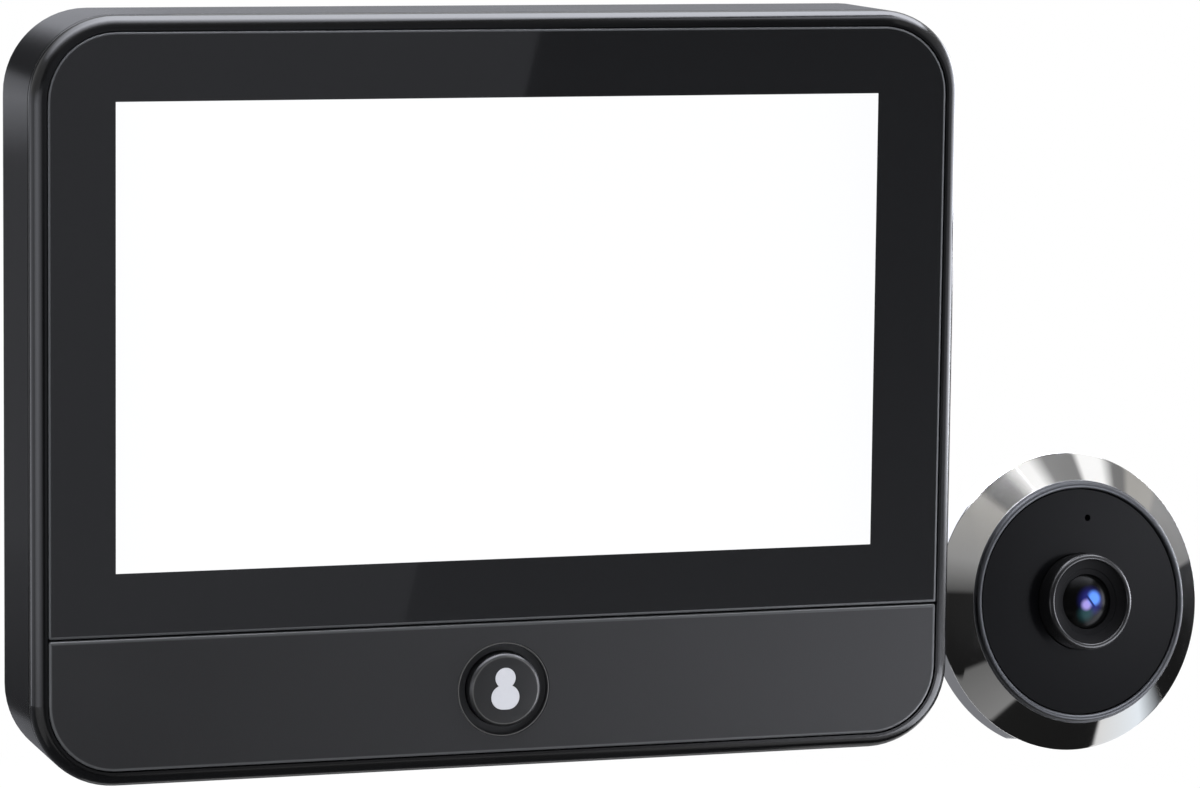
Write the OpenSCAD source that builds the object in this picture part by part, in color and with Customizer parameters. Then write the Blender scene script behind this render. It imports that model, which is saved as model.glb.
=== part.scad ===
// Peephole door camera: an indoor monitor on its door bracket, and an outdoor camera with its door tube.
// Millimetres, +Z up. The front faces -Y, the door surface is Y = 0, and the peephole axis is the Y axis.

/* [Screen] */
// Width of the lit window
window_w = 95; // [90:0.5:101]
// Height of the lit window
window_h = 55.7; // [52:0.1:60]
// Sideways offset of the window in the glass
window_shift = -0.4; // [-0.8:0.1:0.8]
// Black border at the left and right of the window
border_side = 8.45; // [7.5:0.05:9.5]
// Black border above the window
border_top = 8.15; // [7.4:0.05:10]
// Black border below the window
border_bottom = 7.55; // [7:0.05:9]
// Thickness of the cover glass
glass_t = 1.1; // [0.9:0.05:1.3]
// Thickness of the adhesive under the glass
tape_t = 0.2; // [0.1:0.05:0.3]
// Thickness of the display's glass cell
cell_t = 1.2; // [0.9:0.1:1.4]
// Thickness of the display's backlight
light_t = 1.8; // [1.5:0.1:2.1]
// Display edge beyond the window at the sides and the top
cell_edge = 2.2; // [1.8:0.1:2.6]
// Display edge below the window
cell_foot = 4; // [3.4:0.1:4.4]

/* [Lower strip] */
// Height of the strip below the glass
strip_h = 15.9; // [15:0.1:18]
// Open seam between the glass and the strip
seam = 0.3; // [0.2:0.05:0.5]

/* [Case] */
// Corner radius of the glass and the strip
panel_r = 8.2; // [6.5:0.1:9.5]
// Gap around the glass and the strip
panel_gap = 0.12; // [0.08:0.01:0.2]
// Width of the frame's rim
rim_w = 1.8; // [1.7:0.05:2.3]
// Radius of the rim's rounded front edge
rim_round = 1.5; // [1.1:0.05:1.65]
// Depth of the parting line behind the front
parting = 2.5; // [2.3:0.1:3]
// Depth of the whole monitor
body_depth = 18.1; // [16.6:0.1:19]
// Thickness of the cover's walls
wall = 2; // [1.7:0.1:2.2]
// Radius of the cover's rear edge
rear_round = 1.6; // [0.8:0.1:1.9]
// Width and depth of the groove at the parting line
groove = 0.3; // [0.2:0.05:0.4]
// Width of the ledge that carries the glass
ledge_w = 2.5; // [2.2:0.1:2.8]
// Sliding gap between the frame's tongue and the cover
slip = 0.15; // [0.1:0.05:0.25]

/* [View button] */
// Radius of the button
button_r = 4.5; // [4:0.05:4.7]
// Radius of the recess around the button
recess_r = 5.75; // [5.5:0.05:6.4]
// Height of the button's centre above the middle of the strip
button_lift = -0.2; // [-0.6:0.1:0.6]
// Thickness of the wall around the recess
ring_wall = 0.15; // [0.1:0.05:0.3]
// Running gap around the button
button_gap = 0.1; // [0.06:0.01:0.16]
// Travel of the button
button_travel = 0.6; // [0.4:0.1:0.7]
// Radius of the button's rounded edge
button_round = 0.45; // [0.3:0.05:0.7]
// How far the button stands proud of the strip
button_proud = 0.8; // [0.7:0.05:1]

/* [Power button] */
// Length of the power button
key_len = 10; // [8:0.5:11]
// Width of the power button
key_w = 3.2; // [2.6:0.1:3.4]
// How far the power button stands out of the wall
key_proud = 0.7; // [0.5:0.05:1]
// Running gap around the power button
key_gap = 0.1; // [0.06:0.01:0.16]

/* [Inside the monitor] */
// Room between the display and the main board
board_gap = 1.9; // [1.7:0.1:2.2]
// Thickness of the main board
board_t = 1.2; // [1:0.1:1.6]
// Width of the main board
board_w = 92; // [90:0.5:93]
// Height of the main board's upper edge above the monitor's middle
board_top = 4; // [3:0.1:5]
// Clearance between the main board's lower edge and the case wall
board_clear = 1.8; // [1.5:0.1:2.2]
// Width of the battery
battery_w = 58; // [50:1:60]
// Height of the battery
battery_h = 31; // [26:0.5:32]
// Thickness of the battery
battery_t = 5; // [4:0.1:5.6]
// Length of the speaker along the side wall
speaker_len = 24; // [20:0.5:25]
// Height of the speaker
speaker_w = 9; // [7:0.5:9.5]
// Depth of the speaker
speaker_t = 4.6; // [3.5:0.1:4.8]
// Radius of the pillars for the case screws
pillar_r = 2.2; // [2:0.1:2.3]
// Radius of the case screws
screw_r = 1; // [0.8:0.05:1.1]

/* [Door bracket] */
// Width of the bracket plate
plate_w = 84; // [82:0.5:88]
// Height of the bracket plate
plate_h = 50; // [46:0.5:51]
// Thickness of the bracket plate
plate_t = 1.2; // [1:0.1:1.5]
// Radius of the hole for the camera tube
tube_hole_r = 7.3; // [7.2:0.1:9]
// Half the length of each screw slot
slot_half = 4; // [3:0.1:5]
// Radius of the screw slots
slot_r = 2.2; // [1.8:0.1:2.6]
// Distance of the screw slots from the peephole axis
slot_x = 24; // [22:0.5:26]
// Width of each hook
hook_w = 8; // [6:0.5:9]
// How far the hooks reach up behind the cover
hook_rise = 5; // [4:0.1:5.4]
// Distance of the hooks from the peephole axis sideways
hook_x = 36; // [35:0.5:37]
// Height of the upper hooks above the peephole axis
hook_top = 14; // [12:0.5:16]
// Lift that frees the monitor from the hooks
hook_lift = 6; // [5.6:0.1:6.4]
// Height of the monitor's middle above the peephole axis
hang = 6; // [5.5:0.1:6.5]
// Gap between the monitor and the door
door_gap = 0.5; // [0.3:0.1:1]
// Depth of the bay for the bracket
bay_depth = 3.8; // [3.4:0.1:4.2]

/* [Outdoor camera] */
// Radius of the bezel
bezel_r = 19; // [18:0.1:21]
// Depth of the bezel's straight side
bezel_side = 3.1; // [2.6:0.1:4]
// Height of the bezel's sloped face
bezel_slope = 2.93; // [2.6:0.05:3.6]
// Radius of the bezel's opening
face_r = 14.36; // [13.8:0.02:14.6]
// Width of the lip around the face
lip_w = 0.92; // [0.7:0.02:1.1]
// Height of the lip above the face
lip_h = 0.1; // [0.05:0.01:0.3]
// Thickness of the face
face_t = 1.5; // [1.2:0.1:1.8]
// Radius of the lens barrel
barrel_r = 6.1; // [5.6:0.05:6.4]
// How far the lens barrel stands out of the face
barrel_out = 2.8; // [2:0.1:3.6]
// Width of the lens barrel's rim
barrel_rim = 0.75; // [0.5:0.05:1]
// Radius of the front lens
lens_r = 3.4; // [3:0.05:3.6]
// Height of the microphone hole above the middle
mic_up = 10.7; // [10.2:0.05:10.9]
// Radius of the microphone hole
mic_r = 0.42; // [0.3:0.02:0.6]
// Radius of the door tube
tube_r = 7; // [6.6:0.05:7.1]
// Length of the door tube behind the gasket
tube_len = 34; // [26:0.5:60]
// Thickness of the door gasket
gasket_t = 0.9; // [0.6:0.1:1.4]

/* [Set-out] */
// Distance of the camera's axis from the monitor's right side
camera_out = 21.63; // [21.2:0.01:60]
// Distance of the camera face behind the monitor's front
camera_back = 9.6; // [5:0.2:14]
// Distance of the camera below the monitor's middle
camera_down = 30.1; // [10:0.1:40]
// Turn of the camera to the right
camera_turn = 7.8; // [0:0.1:15]
// Lean of the camera backwards
camera_lean = 8.3; // [0:0.1:15]
// Roll of the camera about its own axis
camera_roll = 9.3; // [0:0.1:20]

/* [Hidden] */
$fn = 96;
panel_w = window_w + 2 * border_side;
glass_h = border_top + window_h + border_bottom;
panel_h = glass_h + seam + strip_h;
glass_foot = panel_h / 2 - glass_h;
strip_top = glass_foot - seam;
window_y = panel_h / 2 - border_top - window_h / 2;
open_w = panel_w + 2 * panel_gap;
open_h = panel_h + 2 * panel_gap;
open_r = panel_r + panel_gap;
body_w = open_w + 2 * rim_w;
body_h = open_h + 2 * rim_w;
body_r = open_r + rim_w;
in_w = body_w / 2 - wall;
in_h = body_h / 2 - wall;
front_y = -(door_gap + body_depth);
seat = glass_t + tape_t;
bar_h = 4;
tongue_t = 1.2;
tongue_len = 2;
cell_w = window_w + 2 * cell_edge;
cell_h = window_h + cell_edge + cell_foot;
cell_y = window_y + (cell_edge - cell_foot) / 2;
cell_back = glass_t + cell_t;
light_back = cell_back + light_t;
board_front = light_back + board_gap;
board_back = board_front + board_t;
floor_in = body_depth - wall;
tub_t = 1.8;
bay_floor = body_depth - bay_depth;
tub_in = bay_floor - tub_t;
bay_gap = 0.6;
bay_w = plate_w + 2 * bay_gap;
bay_h = plate_h + 2 * bay_gap + hook_lift;
bay_y = -hang - hook_lift / 2;
bay_r = 4;
pocket_r = 11.5;
pocket_t = 1.2;
nut_room = 6.8;
pocket_floor = body_depth + door_gap - plate_t - nut_room;
pocket_in = pocket_floor - pocket_t;
board_foot = -in_h + board_clear;
board_h = board_top - board_foot;
board_y = (board_top + board_foot) / 2;
board_right = board_w / 2;
button_y = strip_top - strip_h / 2 + button_lift;
flange_t = 0.8;
cap_back = parting + flange_t;
plunger_show = button_travel + 0.5;
plunger_r = 1.6;
stem_fit = 0.06;
switch_top = cap_back + plunger_show;
pillar_x = body_w / 2 - rim_w - panel_gap - border_side + 1.6;
pillar_gap = 0.2;
pillar_top = in_h - pillar_gap - pillar_r;
pillar_foot = -body_h / 2 + 8.6;
pillars = [[pillar_x, pillar_top], [-pillar_x, pillar_top],
  [pillar_x, pillar_foot], [-pillar_x, pillar_foot]];
screw_fit = 0.05;
head_r = screw_r + 1.1;
head_h = 1;
case_screw_len = 7;
board_screw_len = 4;
board_bite = board_screw_len - board_t;
post_r = 2.2;
post_x = 22;
post_top = board_top - 4;
post_foot = board_foot + 9;
posts = [[post_x, post_top], [-post_x, post_top], [post_x, post_foot], [-post_x, post_foot]];
chip_x = post_x;
chip_y = (post_top + post_foot) / 2 + 3.5;
shield_w = 16;
shield_h = 14;
shield_t = 2;
shield_wall = 0.3;
wifi_w = 14;
wifi_h = 16;
wifi_t = 0.8;
wifi_edge = 0.8;
wifi_can_h = 11;
wifi_can_t = 1.4;
plug_w = 24;
plug_h = 3;
plug_drop = 2.5;
tail_t = 0.2;
tail_w = 20;
tail_fold = 0.5;
antenna_x = -36;
antenna_w = 30;
antenna_h = 8;
antenna_t = 0.2;
antenna_up = 1.5;
battery_foot = board_top + 3.5;
battery_edge = 4;
battery_strip = 10;
led_x = 4.3;
led_w = 1.6;
led_h = 1.2;
led_t = 0.4;
led_lens = 0.3;
switch_w = 6;
icon_up = 1.5;
icon_head = 1.27;
icon_down = 0.85;
icon_body = 1.5;
icon_flat = 0.54;
icon_fit = 0.02;
icon_floor = 0.6;
usb_w = 8.9;
usb_t = 3.2;
usb_len = 7.3;
usb_x = -14;
card_w = 14;
card_t = 1.7;
card_len = 14.5;
card_x = 10;
port_gap = 0.3;
port_inset = 1;
port_y = -in_h - wall + port_inset;
mic_x = 30;
mic_cap_r = 2;
mic_cap_t = 2.2;
socket_w = 12.4;
socket_h = 3.8;
socket_y = -hang + 5;
socket_gap = 0.3;
power_t = 3.4;
power_w = 6;
power_depth = board_back + power_t / 2;
power_y = 0;
key_flange = 0.9;
key_travel = 0.4;
power_in = board_right - 2.5;
power_out = board_right + 1.5;
key_plunger = 1;
key_plunger_r = 0.8;
speaker_up = 22.22;
speaker_y = -in_h + speaker_up;
hook_t = 1.2;
hook_gap = 0.3;
bay_z = door_gap + bay_depth;
hook_z = bay_z + tub_t + hook_gap;
slot_drop = hook_t + hook_lift + hook_gap;
hooks = [[hook_x, hook_top], [-hook_x, hook_top], [hook_x, -hook_top], [-hook_x, -hook_top]];
camera_x = body_w / 2 + camera_out;
lip_r = face_r + lip_w;
bezel_back = bezel_slope + bezel_side;
shelf_r = face_r - 1.5;
shelf_t = 1;
hollow_r = bezel_r - 1.8;
face_gap = 0.12;
collar_r = barrel_r + 1.1;
lens_seat = lens_r + 0.04;
cone_out = barrel_r - barrel_rim;
lens_edge = barrel_out - 1.3;
lens_dome = 1.1;
lens_t = 0.9;
core_r = 3.1;
core_front = lens_edge - lens_t - 0.1;
core_back = -9;
holder_r = 4.6;
holder_h = 6;
disc_r = tube_r - 1.2;
disc_t = 1;
disc_front = -10.5;
base_t = 1.5;
ring_board_t = 1;
ring_board_r = face_r - 0.2;
press_r = shelf_r + 0.1;
base_r = hollow_r - 0.1;
bolt_r = (ring_board_r + hollow_r) / 2 - 0.1;
bolt_thread = 0.7;
bolt_head = 1.25;
tube_back = bezel_back + gasket_t + tube_len;
neck_r = tube_r - 0.4;
neck_fit = 0.05;
cable_r = disc_r - 0.8;
cup_back = disc_front - disc_t;
lead_relief = 0.2;
lead_room = 0.8;
sensor_w = 4.4;
sensor_h = 3.6;
sensor_t = 0.7;
lead_w = 7;
lead_h = 3;
lead_t = 1.6;
lead_slot = 0.8;
lead_wall = 0.6;
boot_r = 1.9;
boot_wall = 0.45;
mic_can_r = 1.4;
mic_can_t = 0.65;

// Placing

module on_monitor() {
  translate([0, front_y, hang]) rotate([90, 0, 0]) children();
}

module on_camera() {
  translate([camera_x, front_y + camera_back, hang - camera_down])
    rotate([0, 0, camera_turn]) rotate([90 - camera_lean, 0, 0]) rotate([0, 0, -camera_roll]) children();
}

module on_door() {
  rotate([90, 0, 0]) children();
}

// A plate between two depths behind the front
module layer(from, to) {
  translate([0, 0, -to]) linear_extrude(to - from) children();
}

// A bar along X between two places, drawn in Y and Z
module across(from, to) {
  translate([from, 0, 0]) rotate([90, 0, 90]) linear_extrude(to - from) children();
}

// Shared outlines

module rounded(w, h, r) {
  square([w - 2 * r, h], center = true);
  square([w, h - 2 * r], center = true);
  for (sx = [-1, 1], sy = [-1, 1])
    translate([sx * (w / 2 - r), sy * (h / 2 - r)]) circle(r);
}

module obround(len, r) {
  square([len, 2 * r], center = true);
  for (s = [-1, 1]) translate([s * len / 2, 0]) circle(r);
}

module slot_down(len, r) {
  translate([-r, -len]) square([2 * r, len]);
  circle(r);
  translate([0, -len]) circle(r);
}

// A section carried round a rounded rectangle: its X runs inward from the edge
module around(w, h, r) {
  for (k = [0:3]) {
    side = k % 2 == 0 ? [w, h] : [h, w];
    rotate(90 * k) {
      translate([side[0] / 2, side[1] / 2 - r, 0])
        rotate([90, 0, 0]) linear_extrude(side[1] - 2 * r) mirror([1, 0]) children();
      translate([side[0] / 2 - r, side[1] / 2 - r, 0])
        rotate_extrude(angle = 90) translate([r, 0]) mirror([1, 0]) children();
    }
  }
}

module upper_panel(inset) {
  intersection() {
    rounded(panel_w - 2 * inset, panel_h - 2 * inset, panel_r - inset);
    translate([-panel_w, glass_foot + inset]) square([2 * panel_w, panel_h]);
  }
}

module strip_outline() {
  intersection() {
    rounded(panel_w, panel_h, panel_r);
    translate([-panel_w, strip_top - panel_h]) square([2 * panel_w, panel_h]);
  }
}

module cell_outline() {
  translate([window_shift, cell_y]) square([cell_w, cell_h], center = true);
}

module person(grow) {
  translate([0, icon_up]) circle(icon_head + grow);
  translate([0, -icon_down]) obround(icon_flat, icon_body + grow);
}

module pill(len, w) {
  obround(len - w, w / 2);
}

// Monitor case

module frame_section() {
  difference() {
    union() {
      translate([rim_round, -parting]) square([rim_w - rim_round, parting]);
      translate([0, -parting]) square([rim_w, parting - rim_round]);
      intersection() {
        translate([rim_round, -rim_round]) circle(rim_round);
        translate([0, -rim_round]) square(rim_round);
      }
      translate([rim_w / 2, -parting]) square([rim_w / 2 + ledge_w, parting - seat]);
      translate([wall + slip, -parting - tongue_len]) square([tongue_t, tongue_len + 0.5]);
    }
    translate([-groove, -parting - groove]) square(2 * groove);
  }
}

module front_frame() {
  color("#1b1b1c") on_monitor() difference() {
    union() {
      around(body_w, body_h, body_r) frame_section();
      layer(seat, parting) intersection() {
        rounded(open_w, open_h, open_r);
        translate([-open_w, glass_foot + bar_h / 2 - open_h]) square([2 * open_w, open_h]);
      }
      for (p = pillars) translate(p) translate([0, 0, -floor_in])
        cylinder(h = floor_in - seat - 0.3, r = pillar_r);
    }
    translate([0, button_y, -parting - 1]) cylinder(h = parting + 1, r = button_r + button_gap);
    for (p = pillars) translate(p) translate([0, 0, -floor_in - 1])
      cylinder(h = case_screw_len + 1, r = screw_r + screw_fit);
  }
}

module cover_section() {
  translate([0, -body_depth + rear_round]) square([wall, body_depth - rear_round - parting]);
  translate([rear_round, -body_depth]) square([body_r - rear_round - 2, wall]);
  intersection() {
    translate([rear_round, -body_depth + rear_round]) circle(rear_round);
    translate([0, -body_depth]) square(rear_round);
  }
}

module rear_cover() {
  color("#1b1b1c") on_monitor() difference() {
    union() {
      around(body_w, body_h, body_r) cover_section();
      layer(floor_in, body_depth) rounded(body_w - body_r, body_h - body_r, body_r / 2);
      layer(tub_in, body_depth) translate([0, bay_y])
        rounded(bay_w + 2 * tub_t, bay_h + 2 * tub_t, bay_r + tub_t);
      layer(pocket_in, tub_in + 0.5) translate([0, -hang]) slot_down(hook_lift, pocket_r + pocket_t);
      for (p = posts) translate(p) translate([0, 0, -tub_in - 0.5])
        cylinder(h = tub_in + 0.5 - board_back, r = post_r);
    }
    layer(bay_floor, body_depth + 1) translate([0, bay_y]) rounded(bay_w, bay_h, bay_r);
    layer(pocket_floor, body_depth + 1) translate([0, -hang]) slot_down(hook_lift, pocket_r);
    layer(pocket_in - 1, body_depth)
      translate([0, socket_y]) square([socket_w + 2 * socket_gap, socket_h + 2 * socket_gap], center = true);
    for (h = hooks) layer(tub_in - 1, bay_floor + 1)
      translate([h[0] - hook_w / 2 - hook_gap, h[1] - hang - slot_drop])
        square([hook_w + 2 * hook_gap, slot_drop]);
    for (p = posts) translate(p) translate([0, 0, -board_back - board_bite - 0.4])
      cylinder(h = board_bite + 1.2, r = screw_r + screw_fit);
    for (p = pillars) translate(p) {
      translate([0, 0, -body_depth - 1]) cylinder(h = wall + 2, r = screw_r + 0.2);
      translate([0, 0, -body_depth - 1]) cylinder(h = 1 + head_h + 0.2, r = head_r + 0.2);
    }
    translate([0, -in_h - wall - 1, 0]) rotate([-90, 0, 0]) linear_extrude(wall + 2) {
      translate([usb_x, board_back + usb_t / 2]) pill(usb_w + 2 * port_gap, usb_t + 2 * port_gap);
      translate([card_x, board_back + card_t / 2])
        square([card_w + 2 * port_gap, card_t + 2 * port_gap], center = true);
      translate([mic_x, board_back + mic_cap_r + 0.4]) circle(0.6);
    }
    for (k = [-3:3]) across(in_w - 1, in_w + wall + 1)
      translate([speaker_y + k * 2.6, -floor_in + speaker_w / 2]) square([1.2, speaker_w - 3], center = true);
    across(in_w - 1, in_w + wall + 1) translate([power_y, -power_depth])
      pill(key_len + 2 * key_gap, key_w + 2 * key_gap);
  }
}

module case_screws() {
  color("#8d8f92") on_monitor() for (p = pillars) translate(p) difference() {
    union() {
      translate([0, 0, -body_depth + 0.2]) cylinder(h = head_h, r = head_r);
      translate([0, 0, -body_depth + 0.2]) cylinder(h = case_screw_len, r = screw_r);
    }
    for (a = [0, 90]) rotate(a) translate([-1.2, -0.3, -body_depth - 1]) cube([2.4, 0.6, 1.7]);
  }
}

// Screen and strip

module cover_glass() {
  color("#121315") on_monitor() layer(0, glass_t) upper_panel(0);
}

module glass_tape() {
  color("#0c0c0c") on_monitor() layer(glass_t, seat) difference() {
    upper_panel(0.3);
    translate([window_shift, cell_y]) square([cell_w + 0.4, cell_h + 0.4], center = true);
  }
}

module display_cell() {
  color("#f4f6f6") on_monitor() layer(glass_t, cell_back) cell_outline();
}

module display_backlight() {
  color("#c9cccd") on_monitor() difference() {
    layer(cell_back, light_back) cell_outline();
    translate([window_shift, cell_y, -light_back - 1])
      linear_extrude(1.2) difference() {
        square([cell_w - 6, cell_h - 6], center = true);
        square([cell_w - 14, cell_h - 14], center = true);
      }
  }
}

module lower_panel() {
  color("#2b2b2d") on_monitor() layer(0, seat) difference() {
    strip_outline();
    translate([0, button_y]) circle(recess_r + 0.05);
  }
}

// View button

module button_ring() {
  color("#202022") on_monitor() translate([0, button_y, 0]) rotate_extrude() {
    translate([recess_r - ring_wall, -seat]) square([ring_wall, seat]);
    translate([button_r + button_gap, -seat]) square([recess_r - button_r - button_gap, 0.4]);
  }
}

module cap_section() {
  translate([0, -parting]) square([button_r, parting + button_proud - button_round]);
  translate([0, -parting]) square([button_r - button_round, parting + button_proud]);
  intersection() {
    translate([button_r - button_round, button_proud - button_round]) circle(button_round);
    translate([button_r - button_round, button_proud - button_round]) square(button_round);
  }
  translate([0, -cap_back]) square([button_r + 0.9, flange_t]);
}

module button_cap() {
  color("#161617") on_monitor() translate([0, button_y, 0]) difference() {
    rotate_extrude() cap_section();
    translate([0, 0, -cap_back + icon_floor]) linear_extrude(cap_back + 2) person(icon_fit);
  }
}

module button_icon() {
  color("#f2f2f2") on_monitor() translate([0, button_y, -cap_back + icon_floor])
    linear_extrude(cap_back - icon_floor + button_proud) person(0);
}

module button_switch() {
  color("#3a3b3d") on_monitor() translate([0, button_y, 0]) difference() {
    layer(switch_top, board_front) rounded(switch_w, switch_w, switch_w / 10);
    translate([0, 0, -switch_top - button_travel - 0.45]) cylinder(h = 2, r = plunger_r + stem_fit);
  }
}

module switch_plunger() {
  color("#6e6f71") on_monitor() translate([0, button_y, -switch_top - 0.3])
    cylinder(h = plunger_show + 0.3, r = plunger_r);
}

module button_light() {
  color("#f5f1dc") on_monitor() translate([led_x, button_y - led_h / 2, -board_front]) {
    translate([-led_w / 2, 0, 0]) cube([led_w, led_h, led_t]);
    translate([-led_w / 2 + led_lens, 0, led_t]) cube([led_w - 2 * led_lens, led_h, led_lens]);
  }
}

// Electronics of the monitor

module main_board() {
  color("#1f5b3a") on_monitor() layer(board_front, board_back) difference() {
    translate([0, board_y]) square([board_w, board_h], center = true);
    for (p = posts) translate(p) circle(screw_r + 0.15);
  }
}

module board_screws() {
  color("#a6a8ab") on_monitor() for (p = posts) translate(p) difference() {
    union() {
      translate([0, 0, -board_front]) cylinder(h = head_h, r = head_r - 0.2);
      translate([0, 0, -board_back - board_bite]) cylinder(h = board_screw_len + 0.2, r = screw_r);
    }
    for (a = [0, 90]) rotate(a) translate([-1, -0.25, -board_front + 0.5]) cube([2, 0.5, 1]);
  }
}

module processor_shield() {
  color("#b9bcc0") on_monitor() translate([-chip_x, chip_y, 0]) difference() {
    layer(board_back, board_back + shield_t) square([shield_w, shield_h], center = true);
    layer(board_back - shield_wall, board_back + shield_t - shield_wall)
      square([shield_w - 2 * shield_wall, shield_h - 2 * shield_wall], center = true);
  }
}

module wifi_module() {
  color("#c7c9cb") on_monitor() translate([chip_x, chip_y - wifi_h / 2]) {
    layer(board_back, board_back + wifi_t) translate([-wifi_w / 2, 0]) square([wifi_w, wifi_h]);
    layer(board_back + wifi_t, board_back + wifi_t + wifi_can_t)
      translate([-wifi_w / 2 + wifi_edge, wifi_edge]) square([wifi_w - 2 * wifi_edge, wifi_can_h]);
  }
}

module cable_socket() {
  color("#e7e4d8") on_monitor() layer(board_back, pocket_floor - 0.2) translate([0, socket_y]) difference() {
    square([socket_w, socket_h], center = true);
    square([socket_w - 2, 0.8], center = true);
  }
}

module usb_socket() {
  color("#b4b6b9") on_monitor() translate([usb_x, port_y, -board_back - usb_t / 2]) rotate([-90, 0, 0]) {
    difference() {
      linear_extrude(usb_len) pill(usb_w, usb_t);
      translate([0, 0, -1]) linear_extrude(usb_len) pill(usb_w - 0.6, usb_t - 0.6);
    }
    translate([-3.35, -0.35, 1]) cube([6.7, 0.7, usb_len - 1.5]);
  }
}

module card_socket() {
  color("#bfc1c4") on_monitor() translate([card_x, port_y, -board_back]) difference() {
    translate([-card_w / 2, 0, -card_t]) cube([card_w, card_len, card_t]);
    translate([-5.7, -1, -card_t + 0.4]) cube([11.4, card_len, 0.9]);
  }
}

module display_connector() {
  color("#d9d5c6") on_monitor() layer(light_back + tail_t, board_front)
    translate([-plug_w / 2, cell_y - cell_h / 2 - plug_drop - plug_h]) square([plug_w, plug_h]);
}

module display_ribbon() {
  color("#b07b2c") on_monitor() layer(light_back, light_back + tail_t)
    translate([-tail_w / 2, cell_y - cell_h / 2 - plug_drop - plug_h + tail_fold])
      square([tail_w, plug_h + plug_drop + cell_foot - tail_fold]);
}

module battery() {
  color("#c9ccd1") on_monitor() layer(tub_in - tape_t - battery_t, tub_in - tape_t)
    translate([0, battery_foot + battery_h / 2]) rounded(battery_w, battery_h, battery_edge / 2);
}

module battery_tape() {
  color("#30343a") on_monitor() layer(tub_in - tape_t, tub_in)
    translate([-battery_w / 2 + battery_edge, battery_foot + battery_edge / 4])
      square([battery_w - 2 * battery_edge, battery_strip]);
}

module speaker() {
  color("#2d2e30") on_monitor() difference() {
    across(in_w - speaker_t, in_w) translate([speaker_y, -floor_in + speaker_w / 2])
      square([speaker_len, speaker_w], center = true);
    across(in_w - 0.8, in_w + 1) translate([speaker_y, -floor_in + speaker_w / 2])
      pill(speaker_len - 3, speaker_w - 2);
  }
}

module monitor_mic() {
  color("#9ea1a5") on_monitor() translate([mic_x, -in_h, -board_back - mic_cap_r - 0.4])
    rotate([-90, 0, 0]) difference() {
      cylinder(h = mic_cap_t, r = mic_cap_r);
      translate([0, 0, -1]) cylinder(h = 1.6, r = 0.6);
    }
}

module wifi_antenna() {
  color("#b98a3a") on_monitor() translate([antenna_x, in_h - antenna_t, -floor_in + antenna_up])
    cube([antenna_w, antenna_t, antenna_h]);
}

// Power button

module power_key() {
  color("#161617") on_monitor() {
    across(in_w - 0.1, body_w / 2 + key_proud) translate([power_y, -power_depth]) pill(key_len, key_w);
    across(in_w - key_flange, in_w) translate([power_y, -power_depth]) pill(key_len + 1.6, key_w + 1.6);
    across(power_out + key_plunger, in_w - key_flange) translate([power_y, -power_depth])
      square([3, 2], center = true);
  }
}

module power_switch() {
  color("#c3c5c8") on_monitor() difference() {
    across(power_in, power_out) translate([power_y, -power_depth]) square([power_w, power_t], center = true);
    across(power_out - key_travel - 0.6, power_out + 1) translate([power_y, -power_depth])
      circle(key_plunger_r + stem_fit);
  }
}

module power_plunger() {
  color("#6e6f71") on_monitor() across(power_out - 0.4, power_out + key_plunger)
    translate([power_y, -power_depth]) circle(key_plunger_r);
}

// Door bracket

module door_bracket() {
  color("#9a9da1") on_door() {
    linear_extrude(plate_t) difference() {
      rounded(plate_w, plate_h, 4);
      circle(tube_hole_r);
      for (s = [-1, 1]) translate([s * slot_x, 0]) obround(2 * (slot_half - slot_r), slot_r);
    }
    for (h = hooks) translate([h[0] - hook_w / 2, h[1] - hook_t, 0]) {
      cube([hook_w, hook_t, hook_z + hook_t]);
      translate([0, 0, hook_z]) cube([hook_w, hook_t + hook_rise, hook_t]);
    }
  }
}

// Outdoor camera

module bezel_ring() {
  color("#5a5d61") on_camera() difference() {
    rotate_extrude() polygon([
      [bezel_r, -bezel_back], [bezel_r, -bezel_slope - 0.15], [bezel_r - 0.15, -bezel_slope],
      [lip_r, 0], [lip_r - 0.1, lip_h], [face_r + 0.1, lip_h], [face_r, lip_h - 0.1 * lip_h],
      [face_r, -face_t], [shelf_r, -face_t], [shelf_r, -face_t - shelf_t],
      [hollow_r, -face_t - shelf_t], [hollow_r, -bezel_back]]);
    for (a = [30, 150, 270]) rotate(a) translate([bolt_r, 0, -face_t - shelf_t - 1])
      cylinder(h = 2, r = bolt_thread + screw_fit);
  }
}

module face_plate() {
  color("#17181a") on_camera() translate([0, 0, -face_t]) linear_extrude(face_t) difference() {
    circle(face_r - face_gap);
    circle(barrel_r + face_gap);
    translate([0, mic_up]) circle(mic_r);
  }
}

module lens_barrel() {
  color("#0e0e0f") on_camera() rotate_extrude() polygon([
    [barrel_r, -face_t], [barrel_r, barrel_out - 0.25], [barrel_r - 0.25, barrel_out], [cone_out, barrel_out],
    [lens_seat, lens_edge], [lens_seat, lens_edge - lens_t], [core_r + 0.05, lens_edge - lens_t],
    [core_r + 0.05, -face_t - shelf_t], [collar_r, -face_t - shelf_t], [collar_r, -face_t]]);
}

module front_lens() {
  dome_r = (lens_r * lens_r + lens_dome * lens_dome) / (2 * lens_dome);
  color("#30405c") on_camera() intersection() {
    translate([0, 0, lens_edge - lens_t]) cylinder(h = lens_t + 2 * lens_dome, r = lens_r);
    translate([0, 0, lens_edge + lens_dome - dome_r]) sphere(dome_r);
  }
}

module lens_core() {
  color("#151516") on_camera() rotate_extrude() polygon([
    [core_r, core_back], [core_r, core_front], [2.4, core_front], [1.6, core_front - 2], [1.6, -6.6],
    [2.3, -6.6], [2.3, core_back]]);
}

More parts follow.
